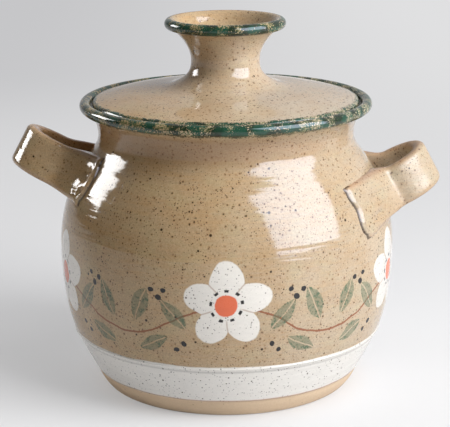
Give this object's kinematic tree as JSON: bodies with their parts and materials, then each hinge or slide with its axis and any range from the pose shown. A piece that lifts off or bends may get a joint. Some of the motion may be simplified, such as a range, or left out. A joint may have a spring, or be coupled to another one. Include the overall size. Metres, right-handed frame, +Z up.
{
  "type": "stoneware bean pot",
  "caption": "Lidded stoneware bean pot with strap handles at the shoulder, a waisted hollow-topped knob, a white dipped band and green sponged rims, for baking and serving.",
  "frame": {"origin": "middle of the foot's flat ring, where the pot's axis meets the table", "axes": "+Z up along the pot's axis, +X through the right-hand handle, -Y towards the front"},
  "size_m": [0.2232, 0.1746, 0.1917],
  "materials": {
    "pot_glaze": "gloss buff glaze with iron speckles, a white dipped band and an unglazed foot",
    "handle_glaze": "gloss buff glaze with iron speckles",
    "lid_glaze": "gloss buff glaze with iron speckles and a green sponged edge",
    "knob_glaze": "gloss buff glaze with iron speckles and a green sponged lip"
  },
  "bodies": {
    "pot": {"pot_body": "pot_glaze", "handle_left": "handle_glaze", "handle_right": "handle_glaze"},
    "lid": {"lid": "lid_glaze", "lid_knob": "knob_glaze"}
  },
  "joints": [
    {"name": "lid_lift", "type": "slide", "parent": "pot", "child": "lid", "axis": [0, 0, 1], "range_m": [0, 0.12]}
  ]
}
